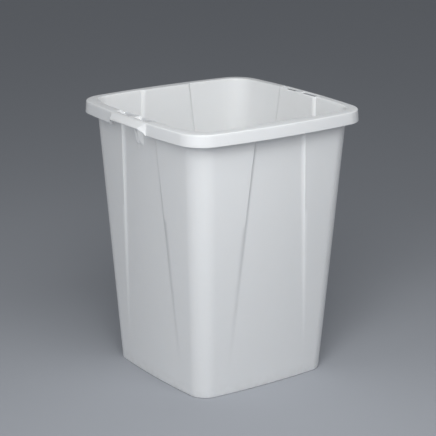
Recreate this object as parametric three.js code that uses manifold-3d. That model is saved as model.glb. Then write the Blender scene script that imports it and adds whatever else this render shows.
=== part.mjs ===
// Square waste bin: one injection moulding in off-white polypropylene.
//
// Units are millimetres and +Z is up. The origin is the centre of the footprint, on the floor.
// The bin is a tapered tub with bowed sides and rounded corners. Its wall rolls over at the top
// into a rim with a hanging skirt. The two hand grips are on the +X and -X sides.

import * as THREE from 'three';
import { mergeVertices } from 'three/addons/utils/BufferGeometryUtils.js';
import Module from 'manifold-3d';

// ---- Driving dimensions ----------------------------------------------------------------------

const HEIGHT = 610;
const WALL = 2.5;                // tub wall thickness
const SIDE_RADIUS = 1730;        // plan radius of the gently bowed sides

// Outlines are given by their half-widths at the middle of the sides and by their corner radius.
const WALL_AT_FLOOR = { halfX: 179.8, halfY: 178.2, corner: 41.9 };
const WALL_AT_TOP = { halfX: 220.5, halfY: 222.8, corner: 54.0 };
const RIM_TOP = { halfX: 240.8, halfY: 243.0, corner: 61.4 };

const SKIRT_HEIGHT = 27.6;
const SKIRT_FLARE = 2;           // how much wider the skirt is at its lower edge
const SKIRT_WALL = 2.2;
const SKIRT_EDGE_ROUND = 0.8;
const RIM_PLATE = 2.9;           // thickness of the rim's top
const RIM_FALL = 1;              // the rim's top falls this much from its inner to its outer edge
const RIM_OUTER_ROUND = 3;
const RIM_INNER_ROUND = 3;

const PANEL_START_Z = 57;        // each side's recessed panel fades in here and runs to the rim
const PANEL_DEPTH = 5.4;         // its depth at the rim
const PANEL_HALF_LOW = 106.5;    // half-width between its proud edges where it starts
const PANEL_HALF_TOP = 64.3;     // and at the rim
const CREASE_WIDTH = 10;         // a concave slope leads in from each proud edge
const CREASE_TO_CORNER = 1;      // the proud edges stay this far from the rounded corners
const INNER_CREASE_OUT = 3;      // inside the tub the creases lie this much further apart

const FOOT_RISE = 4;             // the base panel stands this far above the floor
const FOOT_WIDTH = 8;
const BASE_ROUND = 3;
const FLOOR_THICKNESS = 3;
const FLOOR_ROUND = 7;

const GRIP_REACH = 254.2;        // distance from the centre plane to the grip's tip
const GRIP_TIP_Z = 596.6;
const GRIP_WALL = 2.6;
const GRIP_HOLLOW_DEPTH = 24;    // the hollow under it reaches this far in from the tip
const GRIP_HALF_TIP = 55.5;      // half-length of the grip at its tip
const GRIP_HALF_ROOT = 69;       // and where it meets the skirt

const SLOT_NEAR = 214.6;         // the slots lie between these distances from the centre plane
const SLOT_FAR = 231;
const SLOT_HALF_LENGTH = 65.5;
const SLOT_DEPTH = 8;            // how deep the slot's cutter reaches, right through the rim
const BRIDGE_HALF = 6.5;         // half-width of the bridge between the two slots
const WEB_Y = 57.5;              // a thin web crosses each slot near its outer end
const WEB_WALL = 2.4;
const WEB_DEPTH = 12;
const WEB_SUNK = 1.5;            // the web's top lies this much below the rim's outer edge
const WEB_INTO_WALL = 1.6;       // it runs this far into the tub's wall
const WEB_INTO_RIM = 5;          // and this far under the rim beyond the slot

const FIN_FOOT_Z = 546;          // a pair of fins under each bridge starts here
const FIN_REACH = 11;            // how far they stand out of the wall under the bridge
const FIN_Y = 5.8;               // distance of each fin's crest from the middle of the bridge
const FIN_CREST = 0.8;           // half-width of the crest
const FIN_INNER = 5.8;           // width of the flank towards the other fin
const FIN_OUTER = 11;            // and of the flank away from it
const FIN_PEAK = 0.75;           // power that narrows the crest: 1 would be a plain bell
const FIN_SUNK = 1.5;            // the fins reach this far into the wall behind them
const FIN_INTO_BRIDGE = 1;       // and this far up into the rim's plate

const CUT_PAST = 10;             // cutters run this far past the faces that they open

const COLOUR = 0xe6e7e5;
const ROUGHNESS = 0.5;

// Mesh fineness
const CORNER_STEPS = 7;
const PROUD_STEPS = 2;
const CREASE_STEPS = 3;
const PANEL_STEPS = 3;
const ROUND_STEPS = 3;
const FIN_LAYERS = 8;
const FIN_FLANK_STEPS = 4;

// ---- Outlines --------------------------------------------------------------------------------

function outlineBetween(low, high, t) {
  return {
    halfX: THREE.MathUtils.lerp(low.halfX, high.halfX, t),
    halfY: THREE.MathUtils.lerp(low.halfY, high.halfY, t),
    corner: THREE.MathUtils.lerp(low.corner, high.corner, t),
    side: SIDE_RADIUS,
  };
}

function grown(outline, by) {
  return {
    halfX: outline.halfX + by,
    halfY: outline.halfY + by,
    corner: outline.corner + by,
    side: outline.side + by,
  };
}

function wallOutline(z) {
  return outlineBetween(WALL_AT_FLOOR, WALL_AT_TOP, z / HEIGHT);
}

function skirtOutline(z) {
  const below = (HEIGHT - z) / SKIRT_HEIGHT;
  return grown({ ...RIM_TOP, side: SIDE_RADIUS }, SKIRT_FLARE * below);
}

// How far up the panel a height is: 0 where it starts, 1 at the rim.
function panelShare(z) {
  return THREE.MathUtils.clamp((z - PANEL_START_Z) / (HEIGHT - PANEL_START_Z), 0, 1);
}

function panelDepth(z) {
  return PANEL_DEPTH * panelShare(z);
}

function creasePlace(z) {
  return THREE.MathUtils.lerp(PANEL_HALF_LOW, PANEL_HALF_TOP, panelShare(z));
}

function innerCrease(z) {
  return creasePlace(z) + INNER_CREASE_OUT;
}

// The corner circle touches the two side arcs from inside. Coordinates are (out, along) of a side.
function cornerOf(out, along, radius, side) {
  const reach = side - radius;
  const dx = side - out;
  const dy = along - side;
  const gap = Math.hypot(dx, dy);
  const rise = Math.sqrt(reach * reach - gap * gap / 4);
  const cx = -dx / 2 - rise * dy / gap;
  const cy = dy / 2 + rise * dx / gap;
  return {
    x: cx,
    y: cy,
    start: Math.atan2(cy, cx + dx),
    end: Math.atan2(cy - dy, cx),
  };
}

// The stations along one side, as [distance from the side's middle, share of the panel's depth].
function sideStations(limit, crease) {
  const outer = Math.min(crease, limit - CREASE_TO_CORNER);
  const inner = outer - CREASE_WIDTH;
  const half = [];
  for (let i = 0; i < PROUD_STEPS; i += 1) {
    half.push([THREE.MathUtils.lerp(limit, outer, i / PROUD_STEPS), 0]);
  }
  for (let i = 0; i < CREASE_STEPS; i += 1) {
    const t = i / CREASE_STEPS;
    half.push([THREE.MathUtils.lerp(outer, inner, t), 1 - (1 - t) ** 2]);
  }
  for (let i = 0; i < PANEL_STEPS; i += 1) {
    half.push([inner * (1 - i / PANEL_STEPS), 1]);
  }
  const before = half.map(([s, share]) => [-s, share]);
  return [...before, [0, 1], ...half.reverse()];
}

// One closed ring of points at height z, anticlockwise seen from above.
function ring(outline, z, depth, crease = creasePlace(z)) {
  const points = [];
  for (let k = 0; k < 4; k += 1) {
    const out = k % 2 ? outline.halfY : outline.halfX;
    const along = k % 2 ? outline.halfX : outline.halfY;
    const corner = cornerOf(out, along, outline.corner, outline.side);
    const local = [];
    const limit = outline.side * Math.sin(corner.start);
    for (const [s, share] of sideStations(limit, crease)) {
      const reach = out - outline.side + Math.sqrt(outline.side ** 2 - s ** 2);
      local.push([reach - depth * share, s]);
    }
    for (let i = 1; i < CORNER_STEPS; i += 1) {
      const a = THREE.MathUtils.lerp(corner.start, corner.end, i / CORNER_STEPS);
      local.push([corner.x + outline.corner * Math.cos(a), corner.y + outline.corner * Math.sin(a)]);
    }
    const turn = k * Math.PI / 2;
    for (const [x, y] of local) {
      points.push([
        x * Math.cos(turn) - y * Math.sin(turn),
        x * Math.sin(turn) + y * Math.cos(turn),
        z,
      ]);
    }
  }
  return points;
}

// ---- Solids ----------------------------------------------------------------------------------

function geometryOf(positions, faces) {
  const geometry = new THREE.BufferGeometry();
  geometry.setAttribute('position', new THREE.Float32BufferAttribute(positions, 3));
  geometry.setIndex(faces);
  return geometry;
}

// The faces between each ring of count points and the next.
function sideFaces(ringCount, count) {
  const faces = [];
  for (let r = 0; r + 1 < ringCount; r += 1) {
    for (let i = 0; i < count; i += 1) {
      const j = (i + 1) % count;
      const a = r * count + i;
      const b = r * count + j;
      faces.push(a, b, b + count, a, b + count, a + count);
    }
  }
  return faces;
}

// A closed skin through a run of equal rings round the Z axis. Each end is a fan from its middle.
function loft(rings) {
  const count = rings[0].length;
  const faces = sideFaces(rings.length, count);
  const first = rings.length * count;
  const last = first + 1;
  const lastRing = (rings.length - 1) * count;
  for (let i = 0; i < count; i += 1) {
    const j = (i + 1) % count;
    faces.push(first, j, i);
    faces.push(last, lastRing + i, lastRing + j);
  }
  const middles = [[0, 0, rings[0][0][2]], [0, 0, rings[rings.length - 1][0][2]]];
  return geometryOf([...rings.flat(), ...middles].flat(), faces);
}

// A closed skin through a stack of equal level rings that don't surround the Z axis.
function stack(rings) {
  const count = rings[0].length;
  const faces = sideFaces(rings.length, count);
  const lastRing = (rings.length - 1) * count;
  const flat = rings[rings.length - 1].map(([x, y]) => new THREE.Vector2(x, y));
  for (const [a, b, c] of THREE.ShapeUtils.triangulateShape(flat, [])) {
    faces.push(a, c, b);
    faces.push(lastRing + a, lastRing + b, lastRing + c);
  }
  return geometryOf(rings.flat().flat(), faces);
}

// A solid with mirror-image ends. Each section point is [x, z, half-length along Y], and the
// section runs anticlockwise seen from -Y.
function mirrored(section) {
  const count = section.length;
  const positions = [];
  for (const end of [-1, 1]) {
    for (const [x, z, half] of section) {
      positions.push(x, end * half, z);
    }
  }
  const faces = [];
  for (let i = 0; i < count; i += 1) {
    const j = (i + 1) % count;
    faces.push(i, i + count, j + count, i, j + count, j);
  }
  const flat = section.map(([x, z]) => new THREE.Vector2(x, z));
  for (const [a, b, c] of THREE.ShapeUtils.triangulateShape(flat, [])) {
    faces.push(a, b, c);
    faces.push(a + count, c + count, b + count);
  }
  return geometryOf(positions, faces);
}

function box(lowX, highX, lowY, highY, lowZ, highZ) {
  const geometry = new THREE.BoxGeometry(highX - lowX, highY - lowY, highZ - lowZ);
  geometry.translate((lowX + highX) / 2, (lowY + highY) / 2, (lowZ + highZ) / 2);
  return geometry;
}

const wasm = await Module();
wasm.setup();

function solid(geometry) {
  const bare = geometry.clone();
  bare.deleteAttribute('normal');
  bare.deleteAttribute('uv');
  const merged = mergeVertices(bare, 1e-4);
  return new wasm.Manifold(new wasm.Mesh({
    numProp: 3,
    vertProperties: new Float32Array(merged.attributes.position.array),
    triVerts: new Uint32Array(merged.index.array),
  }));
}

// ---- The tub with its rim --------------------------------------------------------------------

// Quarter-circle steps as [share across, share up]: from (0, 0) leaving along "up" to (1, 1).
function quarter(steps) {
  const list = [];
  for (let i = 0; i <= steps; i += 1) {
    const a = i / steps * Math.PI / 2;
    list.push([1 - Math.cos(a), Math.sin(a)]);
  }
  return list;
}

function undersideRings() {
  const foot = wallOutline(0);
  const footInner = BASE_ROUND + FOOT_WIDTH;
  const rings = [
    ring(grown(foot, -footInner - FOOT_RISE), FOOT_RISE, 0),
    ring(grown(foot, -footInner), 0, 0),
  ];
  for (const [across, up] of quarter(ROUND_STEPS).reverse()) {
    const z = BASE_ROUND * (1 - up);
    rings.push(ring(grown(wallOutline(z), -BASE_ROUND * across), z, 0));
  }
  return rings;
}

const WALL_HEIGHTS = [PANEL_START_Z, 190, 320, 450, 560];

function outerWallRings() {
  return WALL_HEIGHTS.map((z) => ring(wallOutline(z), z, panelDepth(z)));
}

function rimRings() {
  const underside = HEIGHT - RIM_FALL - RIM_PLATE;
  const outerTop = HEIGHT - RIM_FALL;
  const skirtLow = HEIGHT - SKIRT_HEIGHT;
  const depth = panelDepth(HEIGHT);
  const rings = [];
  for (const [across, up] of quarter(ROUND_STEPS)) {
    const z = underside - RIM_INNER_ROUND * (1 - up);
    rings.push(ring(grown(wallOutline(z), RIM_INNER_ROUND * across), z, depth, PANEL_HALF_TOP));
  }
  rings.push(ring(grown(skirtOutline(underside), -SKIRT_WALL), underside, 0, PANEL_HALF_TOP));
  rings.push(ring(grown(skirtOutline(skirtLow), -SKIRT_WALL), skirtLow, 0, PANEL_HALF_TOP));
  rings.push(ring(grown(skirtOutline(skirtLow), -SKIRT_EDGE_ROUND), skirtLow, 0, PANEL_HALF_TOP));
  rings.push(ring(skirtOutline(skirtLow), skirtLow + SKIRT_EDGE_ROUND, 0, PANEL_HALF_TOP));
  for (const [across, up] of quarter(ROUND_STEPS)) {
    const z = outerTop - RIM_OUTER_ROUND * (1 - up);
    rings.push(ring(grown(skirtOutline(z), -RIM_OUTER_ROUND * across), z, 0, PANEL_HALF_TOP));
  }
  for (const [across, up] of quarter(ROUND_STEPS).reverse()) {
    const z = HEIGHT - RIM_INNER_ROUND * (1 - up);
    const inward = WALL - RIM_INNER_ROUND * across;
    rings.push(ring(grown(wallOutline(z), -inward), z, depth, innerCrease(HEIGHT)));
  }
  return rings;
}

function innerWallRings() {
  const heights = WALL_HEIGHTS.toReversed();
  return heights.map((z) => ring(grown(wallOutline(z), -WALL), z, panelDepth(z), innerCrease(z)));
}

function floorRings() {
  const floor = FOOT_RISE + FLOOR_THICKNESS;
  return quarter(ROUND_STEPS).map(([across, up]) => {
    const z = floor + FLOOR_ROUND * (1 - up);
    return ring(grown(wallOutline(z), -WALL - FLOOR_ROUND * across), z, 0, innerCrease(z));
  });
}

function tub() {
  return solid(loft([
    ...undersideRings(),
    ...outerWallRings(),
    ...rimRings(),
    ...innerWallRings(),
    ...floorRings(),
  ]));
}

// ---- The hand grip on the +X side ------------------------------------------------------------

const RIM_EDGE_Z = HEIGHT - RIM_FALL;
const SKIRT_LOW_Z = HEIGHT - SKIRT_HEIGHT;
const SKIRT_LOW_X = RIM_TOP.halfX + SKIRT_FLARE;

// The outside of the grip: a scoop that slopes down and out from the rim. Its ends curve in from
// the skirt to the narrower tip. The steps are measured from the skirt's lower edge and the tip.
function gripOutside() {
  return solid(mirrored([
    [SKIRT_LOW_X - SKIRT_WALL, SKIRT_LOW_Z, GRIP_HALF_ROOT],
    [SKIRT_LOW_X, SKIRT_LOW_Z, GRIP_HALF_ROOT],
    [SKIRT_LOW_X + 1.6, SKIRT_LOW_Z + 4.4, GRIP_HALF_TIP + 9.5],
    [SKIRT_LOW_X + 4.4, SKIRT_LOW_Z + 8.2, GRIP_HALF_TIP + 4.4],
    [GRIP_REACH - 0.9, GRIP_TIP_Z - 1.6, GRIP_HALF_TIP],
    [GRIP_REACH, GRIP_TIP_Z, GRIP_HALF_TIP],
    [GRIP_REACH - 2.2, GRIP_TIP_Z + 2.8, GRIP_HALF_TIP + 0.6],
    [GRIP_REACH - 6.6, GRIP_TIP_Z + 6.2, GRIP_HALF_TIP + 3.6],
    [GRIP_REACH - 10.6, GRIP_TIP_Z + 9.6, GRIP_HALF_TIP + 9.5],
    [GRIP_REACH - 13.4, RIM_EDGE_Z - 0.8, GRIP_HALF_ROOT],
    [GRIP_REACH - 18.2, RIM_EDGE_Z, GRIP_HALF_ROOT],
  ]));
}

// The hollow under the grip, open downwards, which also takes the skirt away. It follows the
// outside one wall thickness in.
function gripHollow() {
  const low = SKIRT_LOW_Z - CUT_PAST;
  const root = GRIP_HALF_ROOT - GRIP_WALL;
  const tip = GRIP_HALF_TIP - GRIP_WALL;
  const inner = GRIP_REACH - GRIP_HOLLOW_DEPTH;
  return solid(mirrored([
    [inner, low, root],
    [SKIRT_LOW_X - 1, low, root],
    [SKIRT_LOW_X + 1.6, low, tip + 8],
    [GRIP_REACH - GRIP_WALL, low, tip],
    [GRIP_REACH - GRIP_WALL, GRIP_TIP_Z - 1, tip],
    [GRIP_REACH - 8.4, GRIP_TIP_Z + 4.1, tip + 3],
    [GRIP_REACH - 12.4, GRIP_TIP_Z + 7.6, tip + 8],
    [GRIP_REACH - 15, RIM_EDGE_Z - GRIP_WALL - 1.4, root],
    [inner, RIM_EDGE_Z - GRIP_WALL, root],
  ]));
}

function slots() {
  const low = HEIGHT - SLOT_DEPTH;
  const high = HEIGHT + CUT_PAST;
  const right = solid(box(SLOT_NEAR, SLOT_FAR, BRIDGE_HALF, SLOT_HALF_LENGTH, low, high));
  const left = solid(box(SLOT_NEAR, SLOT_FAR, -SLOT_HALF_LENGTH, -BRIDGE_HALF, low, high));
  return left.add(right);
}

// A thin web across a slot, from the tub's wall to the solid rim beyond the slot.
function web(y) {
  const top = RIM_EDGE_Z - WEB_SUNK;
  const half = WEB_WALL / 2;
  const low = SLOT_NEAR - WEB_INTO_WALL;
  const high = SLOT_FAR + WEB_INTO_RIM;
  return solid(box(low, high, y - half, y + half, top - WEB_DEPTH, top));
}

// How far a fin's crest stands out of the wall: share 0 at its foot, 1 under the bridge. The crest
// is a quarter of an ellipse.
function finReach(share) {
  return FIN_REACH * Math.sqrt(1 - (1 - share) ** 2);
}

// One flank as [distance from the crest's middle, share of the reach], from the crest downwards.
function finFlank(width) {
  const points = [];
  for (let i = 0; i <= FIN_FLANK_STEPS; i += 1) {
    const t = i / FIN_FLANK_STEPS;
    const height = 1 - THREE.MathUtils.smoothstep(t ** FIN_PEAK, 0, 1);
    points.push([THREE.MathUtils.lerp(FIN_CREST, width, t), height]);
  }
  return points;
}

// The pair of fins under the bridge, which grow upwards from nothing.
function fins() {
  const top = RIM_EDGE_Z - RIM_PLATE + FIN_INTO_BRIDGE;
  const inner = finFlank(FIN_INNER).map(([away, height]) => [FIN_Y - away, height]);
  const outer = finFlank(FIN_OUTER).map(([away, height]) => [FIN_Y + away, height]);
  const right = [...inner.reverse(), ...outer];
  const left = right.slice(1).map(([y, height]) => [-y, height]).reverse();
  const edge = FIN_Y + FIN_OUTER;
  const sections = [];
  for (let layer = 0; layer <= FIN_LAYERS; layer += 1) {
    const share = (layer / FIN_LAYERS) ** 2;
    const z = THREE.MathUtils.lerp(FIN_FOOT_Z, top, share);
    const wall = wallOutline(z).halfX - panelDepth(z);
    const back = wall - FIN_SUNK;
    const front = [...left, ...right].map(([y, height]) => [wall + finReach(share) * height, y, z]);
    sections.push([...front, [back, edge, z], [back, -edge, z]]);
  }
  return solid(stack(sections));
}

function withGrip(body) {
  return body
    .add(gripOutside())
    .subtract(gripHollow())
    .subtract(slots())
    .add(web(WEB_Y))
    .add(web(-WEB_Y))
    .add(fins());
}

// ---- The part --------------------------------------------------------------------------------

function meshOf(manifold, name) {
  const { vertProperties, triVerts } = manifold.getMesh();
  const geometry = geometryOf(Array.from(vertProperties), Array.from(triVerts));
  geometry.computeVertexNormals();
  const material = new THREE.MeshStandardMaterial({ color: COLOUR, roughness: ROUGHNESS, metalness: 0 });
  const mesh = new THREE.Mesh(geometry, material);
  mesh.name = name;
  return mesh;
}

function binBody() {
  const oneGrip = withGrip(tub());
  return withGrip(oneGrip.rotate([0, 0, 180]));
}

const part = new THREE.Group();
part.add(meshOf(binBody(), 'bin_body'));

export default part;
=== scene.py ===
"""Square waste bin: the visual model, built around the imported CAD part.

Shape code works in millimetres, in the CAD part's frame, and meshes are written in metres.
The bin is one moulding, so it is one mesh: a fine loft of the tub and its rim, to which the
two hand grips are joined and from which their slots are cut.
"""

import math

import bmesh
import bpy
from mathutils import Matrix, Vector


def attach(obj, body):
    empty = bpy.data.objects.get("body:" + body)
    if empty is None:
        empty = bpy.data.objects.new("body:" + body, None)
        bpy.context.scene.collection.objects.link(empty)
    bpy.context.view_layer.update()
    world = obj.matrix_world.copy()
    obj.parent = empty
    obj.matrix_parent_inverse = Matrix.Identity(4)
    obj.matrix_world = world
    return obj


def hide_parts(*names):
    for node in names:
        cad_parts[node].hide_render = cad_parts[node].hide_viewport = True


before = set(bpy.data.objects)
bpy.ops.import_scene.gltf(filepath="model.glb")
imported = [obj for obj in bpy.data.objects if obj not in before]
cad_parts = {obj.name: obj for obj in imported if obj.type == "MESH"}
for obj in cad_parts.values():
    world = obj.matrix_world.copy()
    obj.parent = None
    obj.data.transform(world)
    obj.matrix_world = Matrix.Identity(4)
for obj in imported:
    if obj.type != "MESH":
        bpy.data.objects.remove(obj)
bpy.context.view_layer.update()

MM = 0.001

# ---- Driving dimensions, in millimetres, as in the CAD part ----------------------------------

HEIGHT = 610.0
WALL = 2.5                                # tub wall thickness
SIDE_RADIUS = 1730.0                      # plan radius of the gently bowed sides
WALL_AT_FLOOR = (179.8, 178.2, 41.9)      # half-width in X, half-width in Y, corner radius
WALL_AT_TOP = (220.5, 222.8, 54.0)
RIM_TOP = (240.8, 243.0, 61.4)

SKIRT_HEIGHT = 27.6
SKIRT_FLARE = 2.0                         # how much wider the skirt is at its lower edge
SKIRT_WALL = 2.2
SKIRT_INNER_ROUND = 1.5                   # where the skirt meets the underside of the rim
RIM_PLATE = 2.9                           # thickness of the rim's top
RIM_FALL = 1.0                            # it falls this much from its inner to its outer edge
RIM_OUTER_ROUND = 3.0
RIM_INNER_ROUND = 3.0

PANEL_START_Z = 57.0                      # each side's recessed panel fades in here
PANEL_DEPTH = 5.4                         # its depth at the rim
PANEL_HALF_LOW = 106.5                    # half-width between the panel's proud edges, low down
PANEL_HALF_TOP = 64.3                     # and at the rim
CREASE_WIDTH = 10.0                       # a concave slope leads in from each proud edge
CREASE_TO_CORNER = 1.0                    # the proud edges stay this far from the corners
INNER_CREASE_OUT = 3.0                    # inside the tub the creases lie this much further apart

FOOT_RISE = 4.0                           # the base panel stands this far above the floor
FOOT_WIDTH = 8.0
FOOT_EDGE = 0.4                           # the foot ring's inner edges are eased by this much
FOOT_SLOPE_IN = 0.6                       # the slope up from it starts this far in
BASE_PANEL_IN = 1.2                       # and the base panel starts this far in from the slope
BASE_ROUND = 3.0
FLOOR_THICKNESS = 3.0
FLOOR_ROUND = 7.0

GRIP_REACH = 254.2                        # distance from the centre plane to the grip's tip
GRIP_TIP_Z = 596.6
GRIP_WALL = 2.6
GRIP_HALF_TIP = 55.5                      # half-length of the grip at its tip
GRIP_HALF_ROOT = 69.0                     # and where it meets the skirt
GRIP_ROUND = 1.1                          # bevel on the outside's edges
GRIP_HOLLOW_ROUND = 1.4                   # and on the hollow's
GRIP_HOLLOW_DEPTH = 24.0                  # the hollow reaches this far in from the tip

SLOT_NEAR = 214.6                         # the slots lie between these distances from the centre
SLOT_FAR = 231.0
SLOT_HALF_LENGTH = 65.5
SLOT_DEPTH = 8.0                          # how deep the slot's cutter reaches
SLOT_CORNER = 1.6
SLOT_EDGE = 0.9                           # round on the slot's upper edges
BRIDGE_HALF = 6.5                         # half-width of the bridge between the two slots
WEB_Y = 57.5                              # a thin web crosses each slot near its outer end
WEB_WALL = 2.4
WEB_DEPTH = 12.0
WEB_SUNK = 1.5                            # the web's top lies this much below the rim's outer edge
WEB_INTO_WALL = 2.0                       # it runs this far into the tub's wall
WEB_INTO_RIM = 5.0                        # and this far under the rim beyond the slot
WEB_CORNER = 0.3
WEB_TOP_ROUND = 0.3                       # as a share of the web's thickness

FIN_FOOT_Z = 546.0                        # a pair of fins under each bridge starts here
FIN_REACH = 11.0                          # how far they stand out under the bridge
FIN_Y = 5.8                               # distance of each crest from the middle of the bridge
FIN_CREST = 0.8                           # half-width of the crest
FIN_INNER = 5.8                           # width of the flank towards the other fin
FIN_OUTER = 11.0                          # and of the flank away from it
FIN_PEAK = 0.75                           # narrows the crest: 1 would be a plain bell

UNDER_PLATE = HEIGHT - RIM_FALL - RIM_PLATE
OUTER_TOP = HEIGHT - RIM_FALL
SKIRT_LOW = HEIGHT - SKIRT_HEIGHT
SKIRT_LOW_X = RIM_TOP[0] + SKIRT_FLARE

HOLLOW_PAST = 10.0                        # the hollow's cutter runs this far below the skirt
SLOT_PAST = 4.0                           # the slots' cutters run this far above the rim
FLOOR_HALF = 40000.0                      # half-width of the studio floor

# Mesh fineness
CORNER_STEPS = 24
PROUD_STEPS = 8
CREASE_STEPS = 8
PANEL_STEPS = 12
FIN_STRIP_STEPS = 18                      # closer points across the strip where the fins stand
FIN_STRIP_HALF = 19.0                     # half-width of that strip, in millimetres
ROUND_STEPS = 6
SKIRT_ROUND_STEPS = 3
SKIRT_EDGE_STEPS = 8
SKIRT_SHARES = (0.0, 0.33, 0.67)          # rings up the skirt's outside
SLOT_CORNER_STEPS = 5
SLOT_EDGE_STEPS = 5
WEB_ROUND_STEPS = 4
WALL_STEPS = 30                           # rings up the walls to the height of the fins' feet
FINE_STEPS = 18                           # and from there to the rim
FLAT_SHARES = (0.8, 0.6, 0.4, 0.2)        # rings across the flat floor and base, shares of its edge
BEVEL_ANGLE = 20.0                        # degrees: sharper edges than this are bevelled
BEVEL_STEPS = 3
SMOOTH_ANGLE = 32.0                       # degrees: flatter edges than this are shaded smooth

# The plastic's colours: its darkest and lightest white, moulding flow, scuffs and grime
COLOUR_LOW = (0.915, 0.918, 0.916, 1.0)
COLOUR_HIGH = (0.935, 0.937, 0.935, 1.0)
COLOUR_FLOW = (0.895, 0.9, 0.905, 1.0)
COLOUR_SCUFF = (0.74, 0.74, 0.735, 1.0)
COLOUR_GRIME = (0.62, 0.6, 0.56, 1.0)

# How the plastic takes light
PLASTIC_IOR = 1.49
GLOW_WEIGHT = 0.5                         # the share of the light that sinks in
GLOW_REACH = 0.002                        # how far it spreads inside, in metres
GLOW_BY_COLOUR = (1.0, 0.97, 0.94)        # and the share of that for red, green and blue
ROUGH_LOW = 0.42
ROUGH_HIGH = 0.54
ROUGH_SCUFFED = 0.14                      # added where it is scuffed

# The plastic's patterns: spots per metre, detail, and stretch along X, Y and Z
EVEN = (1.0, 1.0, 1.0)
DRIFT = (5.0, 3.0, EVEN)                  # slow drift of the white
FLOW = (26.0, 4.0, (1.0, 1.0, 5.0))       # upright streaks from the moulding
GRAIN = (1400.0, 4.0, EVEN)               # satin grain
SCRATCHES = (900.0, 2.0, (1.0, 1.0, 26.0))
PATCHES = (9.0, 2.0, EVEN)                # where the scratches gather
SMUDGES = (60.0, 5.0, EVEN)               # grime near the floor

# The pattern values between which each of them fades in
DRIFT_FADE = (0.3, 0.7)
FLOW_FADE = (0.35, 0.75)
SCRATCH_FADE = (0.66, 0.74)
PATCH_FADE = (0.5, 0.66)
SMUDGE_FADE = (0.45, 0.75)
ROUGH_FADE = (0.3, 0.7)
GRIME_FADE = (0.0, 0.03)                  # heights above the floor, in metres

FLOW_TINT = 0.18                          # how strongly each pattern colours the plastic
SCUFF_TINT = 0.35
GRIME_TINT = 0.3
FLOW_BUMP = (0.0006, 0.12)                # each bump's depth in metres and its strength
GRAIN_BUMP = (0.0002, 0.25)
SCUFF_BUMP = (0.0001, 0.3)

# Camera and lights
CAMERA_PLACE = (-1.9706, -2.7626, 1.3531)
CAMERA_TARGET = (0.0022, 0.0118, 0.3416)
CAMERA_ROLL = 0.11                        # degrees
LENS = 129.3
SENSOR = 36.0
LIGHTS = (                                # name, azimuth and elevation (degrees), metres away, watts
    ("low", 210.0, 17.0, 3.6, 18.8),
    ("left", 229.0, 32.0, 3.6, 29.5),
    ("key", 250.0, 53.0, 1.7, 7.0),
    ("corner", 231.0, 35.0, 1.7, 3.0),
    ("right", 285.0, 30.0, 1.7, 1.6),
)
LIGHT_AIM = Vector((0.0, 0.0, 0.35))
LIGHT_SPREAD = 0.45                       # a soft box's width as a share of its distance
LIGHT_COLOUR = (0.968, 0.988, 1.0)
FLOOR_ROUGHNESS = 0.9
FLOOR_COLOUR = (0.455, 0.47, 0.505, 1.0)
WORLD_COLOUR = (0.91, 0.95, 1.0, 1.0)
WORLD_STRENGTH = 0.19
VIEW_FAR = 100.0                          # the camera sees this far, in metres


# ---- Small helpers ---------------------------------------------------------------------------

def mix(a, b, t):
    return a + (b - a) * t


def clamped(t):
    return min(max(t, 0.0), 1.0)


def smooth(t):
    t = clamped(t)
    return t * t * (3.0 - 2.0 * t)


def quarter(steps):
    """Quarter-circle steps as (share across, share up), leaving (0, 0) along "up"."""
    turns = [i / steps * math.pi / 2 for i in range(steps + 1)]
    return [(1.0 - math.cos(a), math.sin(a)) for a in turns]


# ---- Outlines: (half-width in X, half-width in Y, corner radius, side radius) ----------------

def grown(outline, by):
    return tuple(value + by for value in outline)


def wall_outline(z):
    t = z / HEIGHT
    return tuple(mix(a, b, t) for a, b in zip(WALL_AT_FLOOR, WALL_AT_TOP)) + (SIDE_RADIUS,)


def skirt_outline(z):
    return grown(RIM_TOP + (SIDE_RADIUS,), SKIRT_FLARE * (HEIGHT - z) / SKIRT_HEIGHT)


def panel_share(z):
    """How far up the panel a height is: 0 where it starts, 1 at the rim."""
    return clamped((z - PANEL_START_Z) / (HEIGHT - PANEL_START_Z))


def panel_depth(z):
    return PANEL_DEPTH * panel_share(z)


def crease_place(z):
    return mix(PANEL_HALF_LOW, PANEL_HALF_TOP, panel_share(z))


def inner_crease(z):
    return crease_place(z) + INNER_CREASE_OUT


def corner_of(out, along, radius, side):
    """The corner circle that touches both side arcs from inside, in a side's own axes."""
    dx = side - out
    dy = along - side
    gap = math.hypot(dx, dy)
    rise = math.sqrt((side - radius) ** 2 - gap * gap / 4)
    cx = -dx / 2 - rise * dy / gap
    cy = dy / 2 + rise * dx / gap
    return cx, cy, math.atan2(cy, cx + dx), math.atan2(cy - dy, cx)


def side_stations(limit, crease):
    """Places along one side, as (distance from its middle, share of the panel's depth)."""
    outer = min(crease, limit - CREASE_TO_CORNER)
    inner = outer - CREASE_WIDTH
    half = [(mix(limit, outer, i / PROUD_STEPS), 0.0) for i in range(PROUD_STEPS)]
    for i in range(CREASE_STEPS):
        t = i / CREASE_STEPS
        half.append((mix(outer, inner, t), 1.0 - (1.0 - t) ** 2))
    half += [(mix(inner, FIN_STRIP_HALF, i / PANEL_STEPS), 1.0) for i in range(PANEL_STEPS)]
    half += [(mix(FIN_STRIP_HALF, 0.0, i / FIN_STRIP_STEPS), 1.0) for i in range(FIN_STRIP_STEPS)]
    return [(-s, share) for s, share in half] + [(0.0, 1.0)] + half[::-1]


def fin_swell(z, s):
    """How far the pair of fins stands out of the wall at height z, s to the side of its middle."""
    rise = clamped((z - FIN_FOOT_Z) / (UNDER_PLATE - FIN_FOOT_Z))
    away = abs(s) - FIN_Y
    width = FIN_OUTER if away > 0.0 else FIN_INNER
    t = clamped((abs(away) - FIN_CREST) / (width - FIN_CREST))
    return FIN_REACH * math.sqrt(1.0 - (1.0 - rise) ** 2) * (1.0 - smooth(t ** FIN_PEAK))


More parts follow.
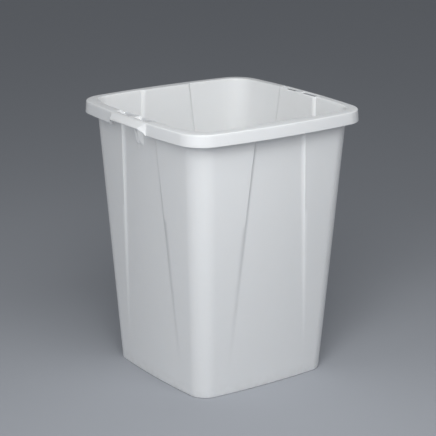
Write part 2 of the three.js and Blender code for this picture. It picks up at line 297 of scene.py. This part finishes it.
def ring(outline, z, depth, crease=None, fins=False):
    """One closed ring of points at height z, anticlockwise seen from above."""
    crease = crease_place(z) if crease is None else crease
    half_x, half_y, radius, side = outline
    points = []
    for k in range(4):
        out, along = (half_y, half_x) if k % 2 else (half_x, half_y)
        cx, cy, start, end = corner_of(out, along, radius, side)
        local = []
        for s, share in side_stations(side * math.sin(start), crease):
            reach = out - side + math.sqrt(side ** 2 - s ** 2) - depth * share
            if fins and k % 2 == 0:
                reach += fin_swell(z, s)
            local.append((reach, s))
        for i in range(1, CORNER_STEPS):
            a = mix(start, end, i / CORNER_STEPS)
            local.append((cx + radius * math.cos(a), cy + radius * math.sin(a)))
        c, d = ((1, 0), (0, 1), (-1, 0), (0, -1))[k]
        points += [(x * c - y * d, x * d + y * c, z) for x, y in local]
    return points


# ---- Meshes ----------------------------------------------------------------------------------

def object_from(name, verts, faces):
    mesh = bpy.data.meshes.new(name)
    mesh.from_pydata([tuple(c * MM for c in v) for v in verts], [], faces)
    obj = bpy.data.objects.new(name, mesh)
    bpy.context.scene.collection.objects.link(obj)
    return obj


def loft(name, rings):
    """A closed skin through a run of equal rings, capped at both ends."""
    count = len(rings[0])
    faces = []
    for r in range(len(rings) - 1):
        for i in range(count):
            j = (i + 1) % count
            a = r * count + i
            b = r * count + j
            faces.append((a, b, b + count, a + count))
    last = (len(rings) - 1) * count
    faces.append(tuple(reversed(range(count))))
    faces.append(tuple(range(last, last + count)))
    return object_from(name, [p for r in rings for p in r], faces)


def evaluated(obj):
    """Applies the object's modifiers to its mesh."""
    graph = bpy.context.evaluated_depsgraph_get()
    mesh = bpy.data.meshes.new_from_object(obj.evaluated_get(graph))
    obj.modifiers.clear()
    obj.data = mesh
    return obj


def bevelled(obj, width):
    mod = obj.modifiers.new("bevel", "BEVEL")
    mod.width = width * MM
    mod.segments = BEVEL_STEPS
    mod.limit_method = "ANGLE"
    mod.angle_limit = math.radians(BEVEL_ANGLE)
    mod.use_clamp_overlap = True
    return evaluated(obj)


def combined(target, tool, operation):
    mod = target.modifiers.new("join", "BOOLEAN")
    mod.object = tool
    mod.operation = operation
    mod.solver = "MANIFOLD"
    evaluated(target)
    bpy.data.objects.remove(tool)
    return target


def on_both_sides(obj):
    """Adds to a piece of the +X grip its copy, turned round to the -X side."""
    bm = bmesh.new()
    bm.from_mesh(obj.data)
    copy = bmesh.ops.duplicate(bm, geom=bm.verts[:] + bm.edges[:] + bm.faces[:])
    verts = [v for v in copy["geom"] if isinstance(v, bmesh.types.BMVert)]
    bmesh.ops.rotate(bm, verts=verts, cent=(0, 0, 0), matrix=Matrix.Rotation(math.pi, 3, "Z"))
    bm.to_mesh(obj.data)
    bm.free()
    return obj


# ---- The tub with its rim --------------------------------------------------------------------

def drawn_in(points, share):
    """The same ring, scaled towards the Z axis."""
    return [(x * share, y * share, z) for x, y, z in points]


def underside_rings():
    foot = wall_outline(0)
    inner = BASE_ROUND + FOOT_WIDTH
    slope_top = grown(foot, -inner - FOOT_RISE)
    panel = ring(grown(slope_top, -BASE_PANEL_IN), FOOT_RISE, 0.0, PANEL_HALF_LOW)
    rings = [drawn_in(panel, share) for share in reversed(FLAT_SHARES)]
    rings.append(panel)
    rings.append(ring(slope_top, FOOT_RISE - FOOT_EDGE, 0.0, PANEL_HALF_LOW))
    rings.append(ring(grown(foot, -inner - FOOT_SLOPE_IN), FOOT_EDGE, 0.0, PANEL_HALF_LOW))
    rings.append(ring(grown(foot, -inner + FOOT_EDGE), 0.0, 0.0, PANEL_HALF_LOW))
    for across, up in reversed(quarter(ROUND_STEPS)):
        z = BASE_ROUND * (1.0 - up)
        rings.append(ring(grown(wall_outline(z), -BASE_ROUND * across), z, 0.0, PANEL_HALF_LOW))
    return rings


def wall_heights(low, high, fine_from):
    """Heights from low to high, close together above fine_from."""
    coarse = [mix(low, fine_from, i / WALL_STEPS) for i in range(1, WALL_STEPS)]
    return coarse + [mix(fine_from, high, i / FINE_STEPS) for i in range(FINE_STEPS)]


def outer_wall_rings():
    heights = wall_heights(BASE_ROUND, UNDER_PLATE - RIM_INNER_ROUND, FIN_FOOT_Z)
    return [ring(wall_outline(z), z, panel_depth(z), fins=True) for z in heights]


def under_rim_rings():
    """From the outer wall's top out to the inside of the skirt."""
    depth = panel_depth(HEIGHT)
    rings = []
    for across, up in quarter(ROUND_STEPS):
        z = UNDER_PLATE - RIM_INNER_ROUND * (1.0 - up)
        outline = grown(wall_outline(z), RIM_INNER_ROUND * across)
        rings.append(ring(outline, z, depth, PANEL_HALF_TOP, fins=True))
    for across, up in reversed(quarter(SKIRT_ROUND_STEPS)):
        z = UNDER_PLATE - SKIRT_INNER_ROUND * (1.0 - up)
        outline = grown(skirt_outline(z), -SKIRT_WALL - SKIRT_INNER_ROUND * across)
        rings.append(ring(outline, z, 0.0, PANEL_HALF_TOP))
    return rings


def skirt_rings():
    """Round the skirt's lower edge and up its outside."""
    half = SKIRT_WALL / 2
    low = skirt_outline(SKIRT_LOW)
    rings = [ring(grown(low, -SKIRT_WALL), SKIRT_LOW + half, 0.0, PANEL_HALF_TOP)]
    for i in range(1, SKIRT_EDGE_STEPS):
        a = math.pi * i / SKIRT_EDGE_STEPS
        inset = half + half * math.cos(a)
        z = SKIRT_LOW + half - half * math.sin(a)
        rings.append(ring(grown(low, -inset), z, 0.0, PANEL_HALF_TOP))
    for share in SKIRT_SHARES:
        z = mix(SKIRT_LOW + half, OUTER_TOP - RIM_OUTER_ROUND, share)
        rings.append(ring(skirt_outline(z), z, 0.0, PANEL_HALF_TOP))
    return rings


def rim_top_rings():
    """Over the rim's rounded outer edge and back to the inner wall."""
    rings = []
    for across, up in quarter(ROUND_STEPS):
        z = OUTER_TOP - RIM_OUTER_ROUND * (1.0 - up)
        rings.append(ring(grown(skirt_outline(z), -RIM_OUTER_ROUND * across), z, 0.0, PANEL_HALF_TOP))
    for across, up in reversed(quarter(ROUND_STEPS)):
        z = HEIGHT - RIM_INNER_ROUND * (1.0 - up)
        outline = grown(wall_outline(z), RIM_INNER_ROUND * across - WALL)
        rings.append(ring(outline, z, panel_depth(HEIGHT), inner_crease(HEIGHT)))
    return rings


def inner_wall_rings():
    low = FOOT_RISE + FLOOR_THICKNESS + FLOOR_ROUND
    rings = []
    for z in reversed(wall_heights(low, HEIGHT - RIM_INNER_ROUND, FIN_FOOT_Z)):
        rings.append(ring(grown(wall_outline(z), -WALL), z, panel_depth(z), inner_crease(z)))
    return rings


def floor_rings():
    level = FOOT_RISE + FLOOR_THICKNESS
    rings = []
    for across, up in quarter(ROUND_STEPS):
        z = level + FLOOR_ROUND * (1.0 - up)
        outline = grown(wall_outline(z), -WALL - FLOOR_ROUND * across)
        rings.append(ring(outline, z, 0.0, inner_crease(z)))
    return rings + [drawn_in(rings[-1], share) for share in FLAT_SHARES]


def tub():
    outside = underside_rings() + outer_wall_rings()
    rim = under_rim_rings() + skirt_rings() + rim_top_rings()
    inside = inner_wall_rings() + floor_rings()
    return loft("bin_body_visual", outside + rim + inside)


# ---- The hand grips --------------------------------------------------------------------------

def mirrored(name, section):
    """A solid with mirror-image ends from a section of (x, z, half-length along Y)."""
    count = len(section)
    verts = [(x, end * half, z) for end in (-1, 1) for x, z, half in section]
    faces = []
    for i in range(count):
        j = (i + 1) % count
        faces.append((i, i + count, j + count, j))
    faces.append(tuple(range(count)))
    faces.append(tuple(reversed(range(count, 2 * count))))
    obj = object_from(name, verts, faces)
    bm = bmesh.new()
    bm.from_mesh(obj.data)
    bmesh.ops.recalc_face_normals(bm, faces=bm.faces)
    bm.to_mesh(obj.data)
    bm.free()
    return obj


def grip_outside():
    """The scoop that slopes down and out from the rim; each end narrows in a curve to the tip.

    The steps are measured from the skirt's lower edge and from the tip.
    """
    return mirrored("grip_outside", [
        (SKIRT_LOW_X - SKIRT_WALL, SKIRT_LOW + 0.2, GRIP_HALF_ROOT),
        (SKIRT_LOW_X, SKIRT_LOW + 0.2, GRIP_HALF_ROOT),
        (SKIRT_LOW_X + 1.6, SKIRT_LOW + 4.4, GRIP_HALF_TIP + 9.5),
        (SKIRT_LOW_X + 4.4, SKIRT_LOW + 8.2, GRIP_HALF_TIP + 4.4),
        (GRIP_REACH - 0.9, GRIP_TIP_Z - 1.6, GRIP_HALF_TIP),
        (GRIP_REACH, GRIP_TIP_Z - 0.6, GRIP_HALF_TIP - 0.3),
        (GRIP_REACH - 0.2, GRIP_TIP_Z + 0.8, GRIP_HALF_TIP - 0.2),
        (GRIP_REACH - 2.2, GRIP_TIP_Z + 2.8, GRIP_HALF_TIP + 0.6),
        (GRIP_REACH - 6.6, GRIP_TIP_Z + 6.2, GRIP_HALF_TIP + 3.6),
        (GRIP_REACH - 10.6, GRIP_TIP_Z + 9.6, GRIP_HALF_TIP + 9.5),
        (GRIP_REACH - 13.4, OUTER_TOP - 0.8, GRIP_HALF_ROOT),
        (GRIP_REACH - 18.2, OUTER_TOP, GRIP_HALF_ROOT),
    ])


def grip_hollow():
    """The finger space under the scoop, open downwards, which also takes the skirt away."""
    low = SKIRT_LOW - HOLLOW_PAST
    inner = GRIP_REACH - GRIP_HOLLOW_DEPTH
    root = GRIP_HALF_ROOT - GRIP_WALL
    tip = GRIP_HALF_TIP - GRIP_WALL
    return mirrored("grip_hollow", [
        (inner, low, root),
        (SKIRT_LOW_X - 1.0, low, root),
        (SKIRT_LOW_X + 1.6, low, tip + 8.0),
        (GRIP_REACH - GRIP_WALL, low, tip),
        (GRIP_REACH - GRIP_WALL, GRIP_TIP_Z - 1.0, tip),
        (GRIP_REACH - 8.4, GRIP_TIP_Z + 4.1, tip + 3.0),
        (GRIP_REACH - 12.4, GRIP_TIP_Z + 7.6, tip + 8.0),
        (GRIP_REACH - 15.0, OUTER_TOP - GRIP_WALL - 1.4, root),
        (inner, OUTER_TOP - GRIP_WALL, root),
    ])


def rounded_box_ring(low, high, radius, z_of):
    """A rectangle from low to high with round corners, its height given by z_of(x)."""
    corners = ((high[0], high[1]), (low[0], high[1]), (low[0], low[1]), (high[0], low[1]))
    points = []
    for k, (x, y) in enumerate(corners):
        cx = x - radius if k in (0, 3) else x + radius
        cy = y - radius if k in (0, 1) else y + radius
        for i in range(SLOT_CORNER_STEPS + 1):
            a = (k + i / SLOT_CORNER_STEPS) * math.pi / 2
            px = cx + radius * math.cos(a)
            points.append((px, cy + radius * math.sin(a), z_of(px)))
    return points


def plate_top(x):
    """The height of the rim's sloping top at a distance x from the centre plane."""
    inner = WALL_AT_TOP[0] - PANEL_DEPTH
    return HEIGHT - RIM_FALL * clamped((x - inner) / (RIM_TOP[0] - inner))


def slot_ring(low_y, high_y, by, z_of):
    low = (SLOT_NEAR - by, low_y - by)
    high = (SLOT_FAR + by, high_y + by)
    return rounded_box_ring(low, high, SLOT_CORNER + by, z_of)


def slot(low_y, high_y):
    """A cutter for one slot, flared at its top so that the slot's edges come out round."""
    rings = [slot_ring(low_y, high_y, 0.0, lambda x: HEIGHT - SLOT_DEPTH)]
    for across, up in quarter(SLOT_EDGE_STEPS):
        drop = SLOT_EDGE * (1.0 - up)
        rings.append(slot_ring(low_y, high_y, SLOT_EDGE * across, lambda x: plate_top(x) - drop))
    rings.append(slot_ring(low_y, high_y, SLOT_EDGE, lambda x: HEIGHT + SLOT_PAST))
    return loft("slot", rings)


def web_ring(y, narrower, z):
    half = WEB_WALL / 2 - narrower
    low = (SLOT_NEAR - WEB_INTO_WALL, y - half)
    high = (SLOT_FAR + WEB_INTO_RIM, y + half)
    return rounded_box_ring(low, high, WEB_CORNER, lambda x: z)


def web(y):
    """A thin web across a slot, rounded along its top."""
    top = HEIGHT - RIM_FALL - WEB_SUNK
    round_top = WEB_WALL * WEB_TOP_ROUND
    rings = [web_ring(y, 0.0, top - WEB_DEPTH)]
    for across, up in quarter(WEB_ROUND_STEPS):
        rings.append(web_ring(y, round_top * across, top - round_top * (1.0 - up)))
    return loft("web", rings)


def with_grips(body):
    scoop = bevelled(grip_outside(), GRIP_ROUND)
    hollow = bevelled(grip_hollow(), GRIP_HOLLOW_ROUND)
    combined(body, on_both_sides(scoop), "UNION")
    combined(body, on_both_sides(hollow), "DIFFERENCE")
    for low_y, high_y in ((-SLOT_HALF_LENGTH, -BRIDGE_HALF), (BRIDGE_HALF, SLOT_HALF_LENGTH)):
        combined(body, on_both_sides(slot(low_y, high_y)), "DIFFERENCE")
    for y in (-WEB_Y, WEB_Y):
        combined(body, on_both_sides(web(y)), "UNION")
    return body


# ---- Material --------------------------------------------------------------------------------

def node(tree, kind, **settings):
    made = tree.nodes.new(kind)
    for key, value in settings.items():
        setattr(made, key, value)
    return made


def noise_on(tree, place, scale, detail, stretch):
    """A noise pattern with this many spots per metre, stretched along X, Y and Z."""
    mapping = node(tree, "ShaderNodeMapping", vector_type="TEXTURE")
    mapping.inputs["Scale"].default_value = stretch
    texture = node(tree, "ShaderNodeTexNoise")
    texture.inputs["Scale"].default_value = scale
    texture.inputs["Detail"].default_value = detail
    tree.links.new(place, mapping.inputs["Vector"])
    tree.links.new(mapping.outputs["Vector"], texture.inputs["Vector"])
    return texture.outputs["Fac"]


def faded(tree, value, fade, low=0.0, high=1.0):
    """Low where the value is at the start of the fade, and high where it is at its end."""
    made = node(tree, "ShaderNodeMapRange")
    made.inputs["From Min"].default_value = fade[0]
    made.inputs["From Max"].default_value = fade[1]
    made.inputs["To Min"].default_value = low
    made.inputs["To Max"].default_value = high
    tree.links.new(value, made.inputs["Value"])
    return made.outputs["Result"]


def maths(tree, operation, a, b):
    made = node(tree, "ShaderNodeMath", operation=operation)
    for socket, value in zip(made.inputs, (a, b)):
        if isinstance(value, float):
            socket.default_value = value
        else:
            tree.links.new(value, socket)
    return made.outputs["Value"]


def tinted(tree, amount, base, tint):
    """The base colour, turned towards the tint by the amount."""
    made = node(tree, "ShaderNodeMix", data_type="RGBA")
    tree.links.new(amount, made.inputs["Factor"])
    colours = [socket for socket in made.inputs if socket.type == "RGBA"]
    for socket, colour in zip(colours, (base, tint)):
        if isinstance(colour, tuple):
            socket.default_value = colour
        else:
            tree.links.new(colour, socket)
    return [socket for socket in made.outputs if socket.type == "RGBA"][0]


def bumped(tree, height, distance, strength, below=None):
    made = node(tree, "ShaderNodeBump")
    made.inputs["Distance"].default_value = distance
    made.inputs["Strength"].default_value = strength
    tree.links.new(height, made.inputs["Height"])
    if below is not None:
        tree.links.new(below, made.inputs["Normal"])
    return made.outputs["Normal"]


def scuff_pattern(tree, place):
    """Fine upright scratches, gathered in patches."""
    scratches = faded(tree, noise_on(tree, place, *SCRATCHES), SCRATCH_FADE)
    patches = faded(tree, noise_on(tree, place, *PATCHES), PATCH_FADE)
    return maths(tree, "MULTIPLY", scratches, patches)


def grime_pattern(tree, place):
    """Smudges that thin out with height above the floor."""
    height = node(tree, "ShaderNodeSeparateXYZ")
    tree.links.new(place, height.inputs["Vector"])
    near_floor = faded(tree, height.outputs["Z"], GRIME_FADE, 1.0, 0.0)
    smudges = faded(tree, noise_on(tree, place, *SMUDGES), SMUDGE_FADE, 0.0, GRIME_TINT)
    return maths(tree, "MULTIPLY", near_floor, smudges)


def plastic_colour(tree, place, flow, scuffs):
    drift = faded(tree, noise_on(tree, place, *DRIFT), DRIFT_FADE)
    white = tinted(tree, drift, COLOUR_LOW, COLOUR_HIGH)
    streaked = tinted(tree, faded(tree, flow, FLOW_FADE, 0.0, FLOW_TINT), white, COLOUR_FLOW)
    scuffed = tinted(tree, maths(tree, "MULTIPLY", scuffs, SCUFF_TINT), streaked, COLOUR_SCUFF)
    return tinted(tree, grime_pattern(tree, place), scuffed, COLOUR_GRIME)


def plastic_roughness(tree, flow, scuffs):
    satin = faded(tree, flow, ROUGH_FADE, ROUGH_LOW, ROUGH_HIGH)
    return maths(tree, "ADD", satin, maths(tree, "MULTIPLY", scuffs, ROUGH_SCUFFED))


def plastic_bumps(tree, place, flow, scuffs):
    ripple = bumped(tree, flow, *FLOW_BUMP)
    satin = bumped(tree, noise_on(tree, place, *GRAIN), *GRAIN_BUMP, ripple)
    return bumped(tree, maths(tree, "MULTIPLY", scuffs, -1.0), *SCUFF_BUMP, satin)


def polypropylene():
    """Off-white moulded plastic, a little translucent, with a satin grain and light wear."""
    material = bpy.data.materials.new("polypropylene_satin")
    material.use_nodes = True
    tree = material.node_tree
    shader = tree.nodes["Principled BSDF"]
    shader.inputs["IOR"].default_value = PLASTIC_IOR
    shader.inputs["Subsurface Weight"].default_value = GLOW_WEIGHT
    shader.inputs["Subsurface Radius"].default_value = GLOW_BY_COLOUR
    shader.inputs["Subsurface Scale"].default_value = GLOW_REACH
    place = node(tree, "ShaderNodeTexCoord").outputs["Object"]
    flow = noise_on(tree, place, *FLOW)
    scuffs = scuff_pattern(tree, place)
    tree.links.new(plastic_colour(tree, place, flow, scuffs), shader.inputs["Base Color"])
    tree.links.new(plastic_roughness(tree, flow, scuffs), shader.inputs["Roughness"])
    tree.links.new(plastic_bumps(tree, place, flow, scuffs), shader.inputs["Normal"])
    return material


# ---- The scene around it ---------------------------------------------------------------------

def floor_stage():
    corners = [(x * FLOOR_HALF, y * FLOOR_HALF, 0) for x, y in ((-1, -1), (1, -1), (1, 1), (-1, 1))]
    floor = object_from("floor", corners, [(0, 1, 2, 3)])
    material = bpy.data.materials.new("floor_pale")
    material.use_nodes = True
    shader = material.node_tree.nodes["Principled BSDF"]
    shader.inputs["Base Color"].default_value = FLOOR_COLOUR
    shader.inputs["Roughness"].default_value = FLOOR_ROUGHNESS
    floor.data.materials.append(material)


def area_light(name, place, size, power):
    data = bpy.data.lights.new(name, "AREA")
    data.shape = "SQUARE"
    data.size = size
    data.energy = power
    data.color = LIGHT_COLOUR
    light = bpy.data.objects.new(name, data)
    light.location = place
    light.rotation_euler = (LIGHT_AIM - place).to_track_quat("-Z", "Y").to_euler()
    bpy.context.scene.collection.objects.link(light)


def lights():
    """Soft boxes around the bin, each aimed at the bin's middle."""
    for name, azimuth, elevation, distance, power in LIGHTS:
        turn = math.radians(azimuth)
        lift = math.radians(elevation)
        level = Vector((math.cos(turn), math.sin(turn), 0.0)) * math.cos(lift)
        place = LIGHT_AIM + (level + Vector((0.0, 0.0, math.sin(lift)))) * distance
        area_light(name, place, LIGHT_SPREAD * distance, power)
    world = bpy.data.worlds.new("studio")
    world.use_nodes = True
    background = world.node_tree.nodes["Background"]
    background.inputs["Color"].default_value = WORLD_COLOUR
    background.inputs["Strength"].default_value = WORLD_STRENGTH
    bpy.context.scene.world = world


def camera():
    data = bpy.data.cameras.new("camera")
    data.lens = LENS
    data.sensor_width = SENSOR
    data.sensor_fit = "HORIZONTAL"
    data.clip_end = VIEW_FAR
    view = bpy.data.objects.new("camera", data)
    place = Vector(CAMERA_PLACE)
    target = Vector(CAMERA_TARGET)
    aim = (target - place).to_track_quat("-Z", "Y").to_matrix().to_4x4()
    roll = Matrix.Rotation(math.radians(CAMERA_ROLL), 4, "Z")
    view.matrix_world = Matrix.Translation(place) @ aim @ roll
    bpy.context.scene.collection.objects.link(view)
    bpy.context.scene.camera = view


# ---- Putting it together ---------------------------------------------------------------------

def smooth_shaded(obj):
    obj.data.shade_smooth()
    obj.data.set_sharp_from_angle(angle=math.radians(SMOOTH_ANGLE))
    return obj


bin_body = smooth_shaded(with_grips(tub()))
bin_body.data.materials.clear()
bin_body.data.materials.append(polypropylene())
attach(bin_body, "root")
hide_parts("bin_body")

floor_stage()
lights()
camera()
bpy.context.scene.view_settings.view_transform = "Standard"
